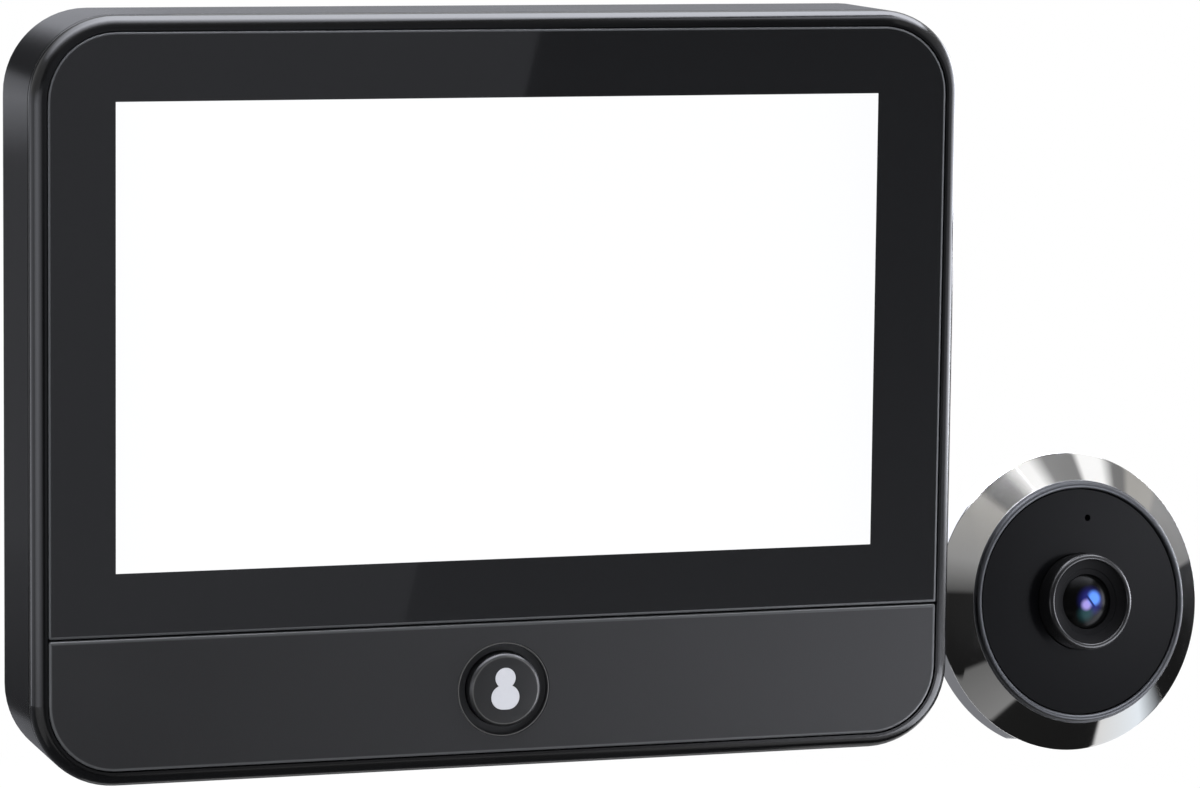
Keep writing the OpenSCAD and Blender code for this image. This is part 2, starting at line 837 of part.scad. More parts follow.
module rear_lens() {
  color("#6f8fae") on_camera() intersection() {
    translate([0, 0, core_back + 0.4]) cylinder(h = 1.9, r = 2.25);
    translate([0, 0, core_back - 1.6]) sphere(4);
  }
}

module lens_holder() {
  color("#1a1a1b") on_camera() difference() {
    union() {
      translate([0, 0, disc_front]) cylinder(h = holder_h, r = holder_r);
      translate([0, 0, disc_front]) cylinder(h = 1, r = disc_r - 0.3);
    }
    translate([0, 0, disc_front - 1]) cylinder(h = holder_h + 2, r = core_r + 0.05);
  }
}

module image_sensor() {
  color("#3e4650") on_camera() translate([-sensor_w / 2, -sensor_h / 2, disc_front])
    cube([sensor_w, sensor_h, sensor_t]);
}

module camera_board() {
  color("#1f5b3a") on_camera() translate([0, 0, disc_front - disc_t]) cylinder(h = disc_t, r = disc_r - 0.1);
}

module camera_socket() {
  color("#e7e4d8") on_camera() translate([0, 0, cup_back - lead_t]) difference() {
    linear_extrude(lead_t) square([lead_w, lead_h], center = true);
    translate([0, 0, -1]) linear_extrude(lead_t - lead_wall + 1)
      square([lead_w - 2 * lead_wall, lead_slot], center = true);
  }
}

module ring_board() {
  color("#1f5b3a") on_camera() translate([0, 0, -face_t - shelf_t - ring_board_t])
    linear_extrude(ring_board_t) difference() {
      circle(ring_board_r);
      circle(barrel_r + 0.2);
    }
}

module mic_boot() {
  color("#161616") on_camera() translate([0, mic_up, -face_t - shelf_t]) difference() {
    cylinder(h = shelf_t, r = boot_r);
    translate([0, 0, -1]) cylinder(h = mic_can_t + 1.05, r = boot_r - boot_wall);
    cylinder(h = 3, r = mic_r);
  }
}

module outdoor_mic() {
  color("#b9bcc0") on_camera() translate([0, mic_up, -face_t - shelf_t])
    cylinder(h = mic_can_t, r = mic_can_r);
}

module tube_base() {
  color("#2b2c2e") on_camera() difference() {
    union() {
      translate([0, 0, -bezel_back]) cylinder(h = base_t, r = base_r);
      translate([0, 0, -bezel_back + 0.5])
        linear_extrude(bezel_back - 0.5 - face_t - shelf_t - ring_board_t) difference() {
          circle(ring_board_r - 0.1);
          circle(press_r);
        }
    }
    translate([0, 0, -bezel_back - 1]) cylinder(h = base_t + 2, r = neck_r + neck_fit);
    for (a = [30, 150, 270]) rotate(a) translate([bolt_r, 0, -bezel_back - 1]) {
      cylinder(h = base_t + 2, r = bolt_thread + 0.1);
      cylinder(h = 1.7, r = bolt_head + 0.1);
    }
  }
}

module camera_tube() {
  color("#2b2c2e") on_camera() difference() {
    union() {
      translate([0, 0, -tube_back]) cylinder(h = tube_len + gasket_t, r = tube_r);
      translate([0, 0, -bezel_back - 1]) cylinder(h = base_t + 1, r = neck_r);
    }
    translate([0, 0, cup_back]) cylinder(h = bezel_back - cup_back, r = disc_r);
    translate([0, 0, cup_back - lead_t - lead_room])
      cylinder(h = lead_t + lead_room + 1, r = cable_r + lead_relief);
    translate([0, 0, -tube_back - 1]) cylinder(h = tube_len, r = cable_r);
  }
}

module base_screws() {
  color("#a6a8ab") on_camera() for (a = [30, 150, 270]) rotate(a) translate([bolt_r, 0, -bezel_back]) {
    cylinder(h = 0.7, r = bolt_head);
    cylinder(h = bezel_back - face_t - shelf_t + 0.8, r = bolt_thread);
  }
}

module door_gasket() {
  color("#101010") on_camera() translate([0, 0, -bezel_back - gasket_t])
    linear_extrude(gasket_t) difference() {
      circle(bezel_r - 0.6);
      circle(tube_r + 1.5);
    }
}

front_frame();
rear_cover();
cover_glass();
glass_tape();
display_cell();
display_backlight();
lower_panel();
button_ring();
button_cap();
button_icon();
button_switch();
switch_plunger();
button_light();
main_board();
processor_shield();
wifi_module();
cable_socket();
usb_socket();
card_socket();
display_connector();
display_ribbon();
battery();
battery_tape();
speaker();
monitor_mic();
wifi_antenna();
power_key();
power_switch();
power_plunger();
board_screws();
case_screws();
door_bracket();
bezel_ring();
face_plate();
lens_barrel();
front_lens();
lens_core();
rear_lens();
lens_holder();
image_sensor();
camera_board();
camera_socket();
ring_board();
mic_boot();
outdoor_mic();
tube_base();
camera_tube();
base_screws();
door_gasket();
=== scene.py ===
import math

import bmesh
import bpy
from mathutils import Matrix, Vector
from mathutils.geometry import tessellate_polygon


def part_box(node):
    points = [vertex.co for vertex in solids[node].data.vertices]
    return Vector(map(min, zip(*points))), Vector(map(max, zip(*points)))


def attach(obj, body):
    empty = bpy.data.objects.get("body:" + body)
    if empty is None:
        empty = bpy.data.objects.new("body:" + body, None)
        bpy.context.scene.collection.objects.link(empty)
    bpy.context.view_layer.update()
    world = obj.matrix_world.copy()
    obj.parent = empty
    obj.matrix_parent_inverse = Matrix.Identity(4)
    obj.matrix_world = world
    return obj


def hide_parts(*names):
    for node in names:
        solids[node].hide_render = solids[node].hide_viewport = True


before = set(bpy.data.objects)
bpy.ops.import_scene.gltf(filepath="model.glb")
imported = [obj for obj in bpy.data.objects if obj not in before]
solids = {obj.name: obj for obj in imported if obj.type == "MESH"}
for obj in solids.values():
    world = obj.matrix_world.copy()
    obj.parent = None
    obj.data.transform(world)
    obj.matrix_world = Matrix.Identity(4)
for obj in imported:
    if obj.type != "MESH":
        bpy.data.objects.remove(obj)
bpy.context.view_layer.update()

MM = 0.001
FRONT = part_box("cover_glass")[0].y

# Front panel: its round corners, the small corners at the seam between glass and strip, half the seam's
# width, and how far the softened pieces reach into the seam
PANEL_CORNER = 8.2 * MM
SEAM_CORNER = 0.3 * MM
SEAM_HALF = 0.15 * MM
SEAM_REACH = 0.04 * MM

# Lit window of the display: its middle and its size
WINDOW_X, WINDOW_Z = -0.4 * MM, 13.8 * MM
WINDOW_WIDTH, WINDOW_HEIGHT = 95.0 * MM, 55.7 * MM

# Outdoor camera: its place, and its turn, lean and roll in degrees
UNIT_PLACE = (0.0795, -0.0090, -0.0241)
UNIT_TURN, UNIT_LEAN, UNIT_ROLL = 7.8, 8.3, -9.3
UNIT = (Matrix.Translation(UNIT_PLACE)
        @ Matrix.Rotation(math.radians(UNIT_TURN), 4, "Z")
        @ Matrix.Rotation(math.radians(90 - UNIT_LEAN), 4, "X")
        @ Matrix.Rotation(math.radians(UNIT_ROLL), 4, "Z"))

WHITE = (1.0, 1.0, 1.0, 1.0)


# Shader wiring

class Value:
    """One socket in a node tree, so that sums of values are written as sums."""

    def __init__(self, wiring, socket):
        self.wiring = wiring
        self.socket = socket

    def maths(self, operation, *values):
        return self.wiring.node("ShaderNodeMath", {"operation": operation}, dict(enumerate(values)))

    def __add__(self, other):
        return self.maths("ADD", self, other)

    def __radd__(self, other):
        return self.maths("ADD", other, self)

    def __sub__(self, other):
        return self.maths("SUBTRACT", self, other)

    def __rsub__(self, other):
        return self.maths("SUBTRACT", other, self)

    def __mul__(self, other):
        return self.maths("MULTIPLY", self, other)

    def __rmul__(self, other):
        return self.maths("MULTIPLY", other, self)

    def __truediv__(self, other):
        return self.maths("DIVIDE", self, other)

    def __pow__(self, other):
        return self.maths("POWER", self, other)

    def __lt__(self, other):
        return self.maths("LESS_THAN", self, other)

    def __abs__(self):
        return self.maths("ABSOLUTE", self)

    def most(self, other):
        return self.maths("MAXIMUM", self, other)

    def wrapped(self):
        return self.maths("FRACT", self)

    def between(self, low, high):
        """0 at low and below, 1 at high and above, eased."""
        return self.wiring.node("ShaderNodeMapRange", {"interpolation_type": "SMOOTHSTEP"},
                                {"Value": self, "From Min": low, "From Max": high})


class Wiring:
    """A node tree, and the one way to add a node to it."""

    def __init__(self, tree):
        self.tree = tree

    def node(self, kind, settings=None, sockets=None, out=0):
        added = self.tree.nodes.new(kind)
        for name, setting in (settings or {}).items():
            setattr(added, name, setting)
        for name, value in (sockets or {}).items():
            self.feed(added.inputs[name], value)
        return Value(self, added.outputs[out])

    def feed(self, socket, value):
        if isinstance(value, Value):
            self.tree.links.new(value.socket, socket)
        else:
            socket.default_value = value

    def background_seen(self):
        """1 for the rays that see the background: the camera's, a reflection's and those through glass."""
        straight, gloss, through = (self.node("ShaderNodeLightPath", out=name)
                                    for name in ("Is Camera Ray", "Is Glossy Ray", "Is Transmission Ray"))
        return straight.most(gloss).most(through)


class Finish(Wiring):
    """A material on the Principled shader."""

    def __init__(self, name, **constants):
        self.material = bpy.data.materials.new(name)
        self.material.use_nodes = True
        super().__init__(self.material.node_tree)
        self.shader = self.tree.nodes["Principled BSDF"]
        self.lay(**constants)

    def lay(self, **sockets):
        for name, value in sockets.items():
            self.feed(self.shader.inputs[name.replace("_", " ")], value)
        return self

    def show(self, surface):
        """The material shows this shader in place of the Principled one alone."""
        self.feed(self.tree.nodes["Material Output"].inputs["Surface"], surface)

    def place(self, stretch=None):
        here = self.node("ShaderNodeTexCoord", out="Object")
        if stretch:
            here = self.node("ShaderNodeVectorMath", {"operation": "MULTIPLY"}, {0: here, 1: stretch})
        return here

    def axes(self, names):
        """Values of the axes that are named, such as "XZ"."""
        here = self.place()
        return [self.node("ShaderNodeSeparateXYZ", None, {0: here}, out=name) for name in names]

    def grain(self, size, detail=2.0, stretch=None, seed=0.0):
        """Noise with features of about this size in millimetres, from 0 to 1."""
        sockets = {"Vector": self.place(stretch), "W": seed, "Scale": 1 / (size * MM), "Detail": detail}
        return self.node("ShaderNodeTexNoise", {"noise_dimensions": "4D"}, sockets)

    def mix(self, factor, dull, bright):
        return self.node("ShaderNodeMix", {"data_type": "RGBA"},
                         {0: factor, 6: colour(dull), 7: colour(bright)}, out=2)

    def bump(self, height, depth):
        """Relief with this depth in millimetres."""
        return self.node("ShaderNodeBump", None,
                         {"Height": height, "Distance": depth * MM, "Strength": 1.0})


def colour(tone):
    if isinstance(tone, Value):
        return tone
    return (tone, tone, tone, 1.0) if isinstance(tone, float) else (*tone, 1.0)


def distance(across, up):
    return (across * across + up * up) ** 0.5


# Mesh building

def made(name, points, faces, place=Matrix.Identity(4), crease=34):
    """An object from points in metres; edges sharper than crease degrees stay sharp."""
    mesh = bpy.data.meshes.new(name)
    mesh.from_pydata(points, [], faces)
    shape = bmesh.new()
    shape.from_mesh(mesh)
    bmesh.ops.remove_doubles(shape, verts=shape.verts, dist=2e-7)
    bmesh.ops.recalc_face_normals(shape, faces=shape.faces)
    shape.to_mesh(mesh)
    shape.free()
    mesh.shade_smooth()
    mesh.set_sharp_from_angle(angle=math.radians(crease))
    piece = bpy.data.objects.new(name, mesh)
    bpy.context.scene.collection.objects.link(piece)
    piece.matrix_world = place
    evened = piece.modifiers.new("evened", "WEIGHTED_NORMAL")
    evened.keep_sharp = True
    return piece


def arc(centre, radius, start, end, steps=6):
    """Points of an arc in (radius, height), with its angles in degrees."""
    turns = [math.radians(start + (end - start) * k / steps) for k in range(steps + 1)]
    return [(centre[0] + radius * math.cos(a), centre[1] + radius * math.sin(a)) for a in turns]


def turned(name, profile, place, steps=192):
    """A closed profile of (radius, height) in millimetres, turned round the Z axis."""
    points, faces, rows = [], [], len(profile)
    for k in range(steps):
        a = 2 * math.pi * k / steps
        points += [(r * math.cos(a) * MM, r * math.sin(a) * MM, z * MM) for r, z in profile]
        for row in range(rows):
            here, there = k * rows, (k + 1) % steps * rows
            after = (row + 1) % rows
            faces.append((here + row, there + row, there + after, here + after))
    return made(name, points, faces, place)


def outline(low, high, radii, inset=0.0, steps=10):
    """A rounded rectangle in X and Z; its corner radii run anticlockwise from the lower left one."""
    corners = ((low[0], low[1], 180), (high[0], low[1], 270), (high[0], high[1], 0), (low[0], high[1], 90))
    points = []
    for (x, z, start), radius in zip(corners, radii):
        into = (1 if x == low[0] else -1, 1 if z == low[1] else -1)
        middle = (x + into[0] * radius, z + into[1] * radius)
        points += arc(middle, max(radius - inset, 1e-6), start, start + 90, steps)
    return points


def circle(middle, radius, steps=96):
    return [(middle[0] + radius * math.cos(2 * math.pi * k / steps),
             middle[1] + radius * math.sin(2 * math.pi * k / steps)) for k in range(steps)]


def softened(loop, back, front, edge, steps=4):
    """Loops from a plate's back face over its softened front edge; loop(inset) gives the outline."""
    rim = [math.radians(90 * k / steps) for k in range(steps + 1)]
    loops = [(loop(0.0), back)]
    loops += [(loop(edge * (1 - math.cos(a))), front + edge * (1 - math.sin(a))) for a in rim]
    return [[(x, y, z) for x, z in points] for points, y in loops]


def plate(name, edge, hole=None):
    """A plate that faces -Y, from the loops of its edge and of a hole in it."""
    points, faces = [], []
    for loops in filter(None, (edge, hole)):
        for lower, upper in zip(loops, loops[1:]):
            start, count = len(points), len(lower)
            points += lower + upper
            for k in range(count):
                after = (k + 1) % count
                faces.append((start + k, start + after, start + count + after, start + count + k))
    for side in (0, -1):
        rings = [[Vector(p) for p in loops[side]] for loops in filter(None, (edge, hole))]
        start = len(points)
        points += [tuple(p) for ring in rings for p in ring]
        faces += [tuple(start + k for k in triangle) for triangle in tessellate_polygon(rings)]
    return made(name, points, faces)


def shown(piece, body, slot, finish, *stands_for):
    """A made piece rides on its body in its finish, and stands for its solids."""
    piece.data.materials.append(finish.material)
    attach(piece, body)
    if stands_for:
        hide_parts(*stands_for)
    return piece


def dressed(finish, *names):
    """Solids that stay as they are get their finish."""
    for name in names:
        solids[name].data.materials.clear()
        solids[name].data.materials.append(finish.material)


def button_middle():
    """X and Z of the view button's axis."""
    low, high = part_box("button_ring")
    return (low.x + high.x) / 2, (low.z + high.z) / 2


# Edge lines that get a painted highlight, as masks from 0 to 1

def panel_edge(f, width=0.36 * MM):
    """1 along the outline of the glass and the strip together, and along the seam between them."""
    glass_low, glass_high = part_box("cover_glass")
    strip_low, strip_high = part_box("lower_panel")
    middle = (strip_low.z + glass_high.z) / 2
    seam = (glass_low.z + strip_high.z) / 2
    inner, outer = 1.2 * width, 0.8 * width
    x, z = f.axes("XZ")
    out = (abs(x) - (glass_high.x - PANEL_CORNER)).most(0.0)
    up = (abs(z - middle) - (glass_high.z - middle - PANEL_CORNER)).most(0.0)
    rim = distance(out, up).between(PANEL_CORNER - inner, PANEL_CORNER - outer)
    return rim.most(1.0 - abs(z - seam).between(SEAM_HALF + outer, SEAM_HALF + inner))


def button_edge(f):
    """1 where the view button's flat top meets its shoulder."""
    middle_x, middle_z = button_middle()
    x, z = f.axes("XZ")
    return 1.0 - abs(distance(x - middle_x, z - middle_z) - 4.09 * MM).between(0.05 * MM, 0.11 * MM)


def recess_edge(f):
    """1 on the recess's rim; the recess is turned round its own axis."""
    return distance(*f.axes("XY")).between(5.60 * MM, 5.64 * MM)


def parting_edge(f):
    """1 along the line where the case's halves part."""
    (y,) = f.axes("Y")
    return 1.0 - abs(y - (FRONT + 2.12 * MM)).between(0.10 * MM, 0.24 * MM)


# Finishes

def moulded(name, dark, light, rough, grain_size, grain_depth, gloss=0.5, edge=None, edge_highlight_tone=0.1, worn=0.0,
            **constants):
    """Moulded plastic: broad tone drift, a fine spark-eroded grain, and a painted highlight along the given
    edge lines, which worn also makes smoother.
    """
    f = Finish(name, Specular_IOR_Level=gloss, **constants)
    drift = f.grain(16.0, 3.0)
    grain = f.grain(grain_size, 2.0, seed=3.0)
    tone = f.mix(0.55 * drift + 0.45 * grain, dark, light)
    dullness = rough + 0.10 * (grain - 0.5) + 0.08 * (drift - 0.5)
    if edge:
        # Painted highlight: along the edge lines the base colour is lifted to a lighter tone; worn lowers
        # their roughness there.
        highlight_edge_mask = edge(f)
        tone = f.mix(highlight_edge_mask * (0.75 + 0.5 * drift), tone, edge_highlight_tone)
        dullness = dullness - worn * highlight_edge_mask
    return f.lay(Base_Color=tone, Roughness=dullness, Normal=f.bump(grain, grain_depth))


def metal(name, dull, bright, rough, stretch, size):
    """Sheet or turned metal: drawn lines along one way, and faint handling marks."""
    f = Finish(name, Metallic=1.0)
    lines = f.grain(size, 3.0, stretch)
    marks = f.grain(6.0, 4.0, seed=5.0).between(0.5, 0.75)
    return f.lay(Base_Color=f.mix(0.7 * lines + 0.3 * marks, dull, bright),
                 Roughness=rough + 0.12 * (lines - 0.5) + 0.08 * marks,
                 Normal=f.bump(lines, 0.004))


def lit_glass():
    """Cover glass, printed black behind, with the lit window in it and a ground edge, whose lighter tone is
    partly the ground glass and partly a painted highlight.
    """
    f = Finish("lit_cover_glass", IOR=1.5, Emission_Strength=1.0)
    x, z = f.axes("XZ")
    aside, up = abs(x - WINDOW_X), abs(z - WINDOW_Z)
    inside = (aside < WINDOW_WIDTH / 2) * (up < WINDOW_HEIGHT / 2)
    dimming = 1.0 - 0.02 * (aside / (WINDOW_WIDTH / 2)) ** 8.0
    haze = f.grain(50.0, 2.0)
    wiped = f.grain(12.0, 4.0, (1.0, 1.0, 0.35), seed=2.0).between(0.45, 0.8)
    ground = panel_edge(f, 0.29 * MM)
    black = f.mix(haze, (0.0070, 0.0073, 0.0081), (0.0086, 0.0089, 0.0098))
    # The lighter base colour on the ground edge paints its bright edge line: partly the ground glass's own
    # tone, partly a painted highlight.
    return f.lay(Base_Color=f.mix(ground, black, (0.030, 0.032, 0.035)),
                 Roughness=0.025 + 0.05 * wiped + 0.42 * ground,
                 Emission_Color=f.mix(inside * dimming, 0.0, (0.985, 0.99, 1.0)))


def polished_chrome():
    """Bright plating: faint turning lines and wiped haze, and a satin lip round the face."""
    f = Finish("polished_chrome", Metallic=1.0)
    haze = f.grain(9.0, 4.0)
    lines = f.grain(0.6, 2.0, (0.02, 0.02, 1.0), seed=4.0)
    satin = 1.0 - distance(*f.axes("XY")).between(15.40 * MM, 15.47 * MM)
    plated = f.mix(haze, (0.80, 0.79, 0.78), (0.88, 0.88, 0.875))
    return f.lay(Base_Color=f.mix(satin, plated, (0.034, 0.035, 0.037)),
                 Roughness=0.05 + 0.05 * haze.between(0.5, 0.8) + 0.02 * lines + 0.36 * satin)


def painted_glint_lens():
    """Front element: black glass with painted reflections on it: a blue and a violet glint, deep blue round
    them, teal below them, and a dark gap between the glints.
    """
    f = Finish("painted_glint_lens", IOR=1.45, Specular_IOR_Level=0.04)
    x, y = f.axes("XY")

    def spot(middle, inner, outer):
        return 1.0 - distance(x - middle[0] * MM, y - middle[1] * MM).between(inner * MM, outer * MM)

    # Painted reflections: the blue, violet, deep blue and teal spots and the dark parting between them
    # stand in for glints of the lamps; only the near-black base is the glass's own colour.
    deep = f.mix(spot((0.1, 0.1), 0.7, 2.2), 0.0012, (0.016, 0.018, 0.14))
    teal = f.mix(spot((-0.4, -1.5), 0.2, 1.5), deep, (0.005, 0.036, 0.040))
    violet = f.mix(spot((-0.52, -0.45), 0.3, 0.95), teal, (0.32, 0.27, 0.64))
    blue = f.mix(spot((0.5, 0.5), 0.45, 1.25), violet, (0.11, 0.28, 0.95))
    parting = (1.0 - abs(x + y - 0.05 * MM).between(0.05 * MM, 0.35 * MM)) * spot((0.0, 0.0), 0.8, 1.4)
    return f.lay(Base_Color=f.mix(parting, blue, (0.014, 0.016, 0.11)),
                 Roughness=0.16 + 0.1 * f.grain(0.8))


def solder_mask():
    """Circuit board: green mask, with copper tracks and pads under it."""
    f = Finish("solder_mask")
    (x,) = f.axes("X")
    cells = f.node("ShaderNodeTexVoronoi", {"distance": "CHEBYCHEV"},
                   {"Vector": f.place(), "Scale": 420.0, "Randomness": 0.7})
    tracks = abs((x * 900.0).wrapped() - 0.5) < 0.16
    runs = f.grain(6.0, 1.0).between(0.48, 0.52)
    pads = cells < 0.16
    copper = (tracks * runs).most(pads)
    return f.lay(Base_Color=f.mix(copper, (0.016, 0.105, 0.050), (0.045, 0.20, 0.085)),
                 Roughness=0.36 + 0.12 * f.grain(0.5),
                 Normal=f.bump(copper, 0.03))


def foil():
    """Laminated pouch foil, slightly crumpled."""
    f = Finish("pouch_foil", Metallic=0.8)
    crumple = f.grain(9.0, 5.0)
    return f.lay(Base_Color=f.mix(crumple, (0.56, 0.57, 0.59), (0.70, 0.71, 0.73)),
                 Roughness=0.34 + 0.16 * crumple,
                 Normal=f.bump(crumple, 0.2))


def amber_film():
    """Flexible circuit: amber film over fine parallel conductors."""
    f = Finish("amber_film")
    (x,) = f.axes("X")
    wires = abs((x * 1250.0).wrapped() - 0.5) < 0.25
    return f.lay(Base_Color=f.mix(wires, (0.30, 0.135, 0.02), (0.50, 0.25, 0.05)),
                 Roughness=0.28 + 0.1 * f.grain(1.0),
                 Normal=f.bump(wires, 0.02))


def sensor_chip():
    """Sensor package: dark die with an iridescent sheen."""
    f = Finish("sensor_chip", Coat_Weight=0.6)
    tone = f.grain(1.2, 1.0)
    return f.lay(Base_Color=f.mix(tone, (0.03, 0.035, 0.06), (0.07, 0.05, 0.09)),
                 Roughness=0.22 + 0.1 * tone)


def light_diode():
    """Button lamp: cream phosphor in a white housing."""
    f = Finish("light_diode")
    tone = f.grain(0.4, 2.0)
    return f.lay(Base_Color=f.mix(tone, (0.80, 0.74, 0.48), (0.90, 0.87, 0.72)),
                 Roughness=0.4 + 0.2 * tone)


# Plastics: darkest and lightest tone, roughness, size and depth of the grain in millimetres
# Painted highlight: a lighter line along the case's parting line.
case_black = moulded("satin_case_black", (0.0018, 0.0019, 0.0022), (0.0030, 0.0031, 0.0035),
                     0.18, 0.20, 0.003, gloss=0.27, edge=parting_edge, edge_highlight_tone=0.05)
# Painted highlight: lighter lines along the strip's outline and the seam above it.
strip_black = moulded("grained_strip_black", (0.0012, 0.0013, 0.0016), (0.0040, 0.0042, 0.0047),
                      0.50, 0.16, 0.010, gloss=0.32,
                      edge=panel_edge, edge_highlight_tone=(0.060, 0.062, 0.066), worn=0.26)
# Painted highlight: a lighter ring where the button's flat top meets its shoulder.
button_black = moulded("button_black", (0.0060, 0.0062, 0.0068), (0.0105, 0.0108, 0.0116),
                       0.34, 0.18, 0.003, gloss=0.30, edge=button_edge, edge_highlight_tone=0.055)
# Painted highlight: a lighter ring on the recess's rim.
recess_black = moulded("recess_black", (0.0200, 0.0206, 0.0224), (0.0280, 0.0287, 0.0308),
                       0.40, 0.18, 0.003, gloss=0.10, edge=recess_edge, edge_highlight_tone=0.09)
icon_white = moulded("icon_white", (0.49, 0.50, 0.545), (0.565, 0.575, 0.62), 0.36, 0.3, 0.002)
face_black = moulded("face_satin_black", (0.0014, 0.0015, 0.0019), (0.0022, 0.0023, 0.0028),
                     0.20, 0.10, 0.0005, gloss=0.10)
barrel_black = moulded("barrel_black", (0.003, 0.003, 0.0034), (0.006, 0.006, 0.0064),
                       0.24, 0.12, 0.001, gloss=0.24)
baffle_black = moulded("baffle_black", (0.0010, 0.0010, 0.0012), (0.0022, 0.0022, 0.0024),
                       0.55, 0.1, 0.002, gloss=0.03)
core_black = moulded("lens_core_black", 0.004, 0.007, 0.6, 0.1, 0.004)
cream = moulded("connector_cream", (0.62, 0.58, 0.47), (0.74, 0.71, 0.61), 0.42, 0.4, 0.005)
tape_black = moulded("foam_tape", 0.010, 0.020, 0.85, 0.3, 0.03)
gasket_black = moulded("gasket_rubber", 0.010, 0.019, 0.72, 0.4, 0.02)
tube_black = moulded("anodised_black", (0.022, 0.022, 0.023), (0.040, 0.040, 0.042),
                     0.34, 0.2, 0.004, Metallic=0.6)

# Metals: dull and bright tone, roughness, stretch and size of the drawn lines
sheet_metal = metal("tinned_sheet", (0.52, 0.53, 0.54), (0.66, 0.67, 0.68), 0.30, (1.0, 1.0, 0.05), 0.3)
bracket_steel = metal("plated_steel", (0.40, 0.41, 0.42), (0.58, 0.59, 0.60), 0.34, (0.04, 1.0, 1.0), 0.4)
screw_steel = metal("screw_steel", (0.42, 0.43, 0.44), (0.60, 0.61, 0.62), 0.28, (1.0, 0.2, 1.0), 0.2)

glass = lit_glass()
chrome = polished_chrome()
lens_glints = painted_glint_lens()
board = solder_mask()
battery_foil = foil()
film = amber_film()
chip = sensor_chip()
diode = light_diode()

dressed(case_black, "front_frame", "rear_cover", "speaker")
dressed(button_black, "button_switch", "switch_plunger", "power_key", "power_plunger")
dressed(icon_white, "button_icon")
dressed(tape_black, "glass_tape", "battery_tape")
dressed(sheet_metal, "display_backlight", "processor_shield", "wifi_module", "usb_socket", "card_socket",
        "monitor_mic", "power_switch", "outdoor_mic")
dressed(glass, "display_cell")
dressed(board, "main_board", "camera_board", "ring_board")
dressed(cream, "cable_socket", "display_connector", "camera_socket")
dressed(film, "display_ribbon", "wifi_antenna")
dressed(battery_foil, "battery")
dressed(diode, "button_light")
dressed(screw_steel, "board_screws", "case_screws", "base_screws")
dressed(bracket_steel, "door_bracket")
dressed(face_black, "face_plate")
dressed(core_black, "lens_core", "lens_holder")
dressed(lens_glints, "rear_lens")
dressed(chip, "image_sensor")
dressed(gasket_black, "mic_boot", "door_gasket")
dressed(tube_black, "tube_base")


# Front of the monitor: glass and strip with softened edges, and the view button

def cover_glass():
    low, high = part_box("cover_glass")
    radii = (SEAM_CORNER, SEAM_CORNER, PANEL_CORNER, PANEL_CORNER)

    def loop(inset):
        return outline((low.x, low.z - SEAM_REACH), (high.x, high.z), radii, inset)

    edge = softened(loop, high.y, low.y, 0.20 * MM)
    shown(plate("screen_glass", edge), "monitor", "cover_glass", glass, "cover_glass")


def lower_strip():
    low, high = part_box("lower_panel")
    ring_low, ring_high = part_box("button_ring")
    middle = button_middle()
    hole = (ring_high.x - ring_low.x) / 2 + 0.05 * MM
    radii = (PANEL_CORNER, PANEL_CORNER, SEAM_CORNER, SEAM_CORNER)

    def loop(inset):
        return outline((low.x, low.z), (high.x, high.z + SEAM_REACH), radii, inset)

    edge = softened(loop, high.y, low.y, 0.28 * MM)
    bore = softened(lambda inset: circle(middle, hole + inset), high.y, low.y, 0.04 * MM)
    shown(plate("strip_panel", edge, bore), "monitor", "strip_black", strip_black, "lower_panel")


def button_recess():
    x, z = button_middle()
    place = Matrix.Translation((x, FRONT, z)) @ Matrix.Rotation(math.pi / 2, 4, "X")
    profile = [(5.75, -1.3), *arc((5.675, -0.075), 0.075, 0, 180, 8), *arc((5.5, -0.8), 0.1, 0, -90, 4),
               (4.66, -0.9), (4.6, -0.96), (4.6, -1.3)]
    shown(turned("button_recess", profile, place), "monitor", "button_black", recess_black, "button_ring")


def pictogram(steps=120):
    """Outline of the head and shoulders in the button's face, seen from the neck, in millimetres."""
    rounds = ((0.0, 1.5, 1.29), (-0.27, -0.85, 1.52), (0.27, -0.85, 1.52))
    foot_half, foot_height = 0.27, -2.37
    neck = 0.44
    points = []
    for k in range(steps):
        across, up = math.cos(2 * math.pi * k / steps), math.sin(2 * math.pi * k / steps)
        reach = 0.0
        for x, z, radius in rounds:
            along = x * across + (z - neck) * up
            reach = max(reach, along + math.sqrt(radius ** 2 - x ** 2 - (z - neck) ** 2 + along ** 2))
        foot = (foot_height - neck) / up if up < -0.5 else 0.0
        if abs(foot * across) < foot_half:
            reach = max(reach, foot)
        points.append((reach * across, neck + reach * up))
    return points


def button_cap():
    """The view button's cap: a flange behind the strip, a rounded shoulder, and the pictogram's pocket."""
    x, z = button_middle()
    back, top = -3.3, 0.8
    shoulder = arc((3.793, 0.051), 0.8, 28, 68, 8)
    profile = [(5.4, back), (5.4, -2.5), (4.5, -2.5), (4.5, 0.39), *shoulder, (4.075, 0.798), (4.05, top)]
    edge = [[(across, FRONT - height * MM, up) for across, up in circle((x, z), radius * MM, 120)]
            for radius, height in profile]
    pocket = [[(x + across * MM, FRONT - height * MM, z + up * MM) for across, up in pictogram()]
              for height in (back, top)]
    shown(plate("view_button_cap", edge, pocket), "view_button", "button_black", button_black, "button_cap")


# Outdoor camera

def chrome_bezel():
    """The ring: its wall, its slope, the rounded lip round the face, and the hollow back."""
    wall = [(19.0, -6.03), (19.0, -3.16), *arc((18.88, -3.1), 0.12, 0, 52, 4)]
    slope = [(18.7, -2.81), (15.5, -0.285), (15.34, -0.16)]
    lip = [(15.26, -0.12), *arc((14.81, -0.06), 0.42, 0, 180, 12), (14.36, -0.2)]
    hollow = [(14.36, -1.5), (12.86, -1.5), (12.86, -2.5), (17.2, -2.5), (17.2, -6.03)]
    profile = [*wall, *slope, *lip, *hollow]
    shown(turned("chrome_bezel", profile, UNIT, 288), "door_fixings", "bezel_chrome", chrome, "bezel_ring")


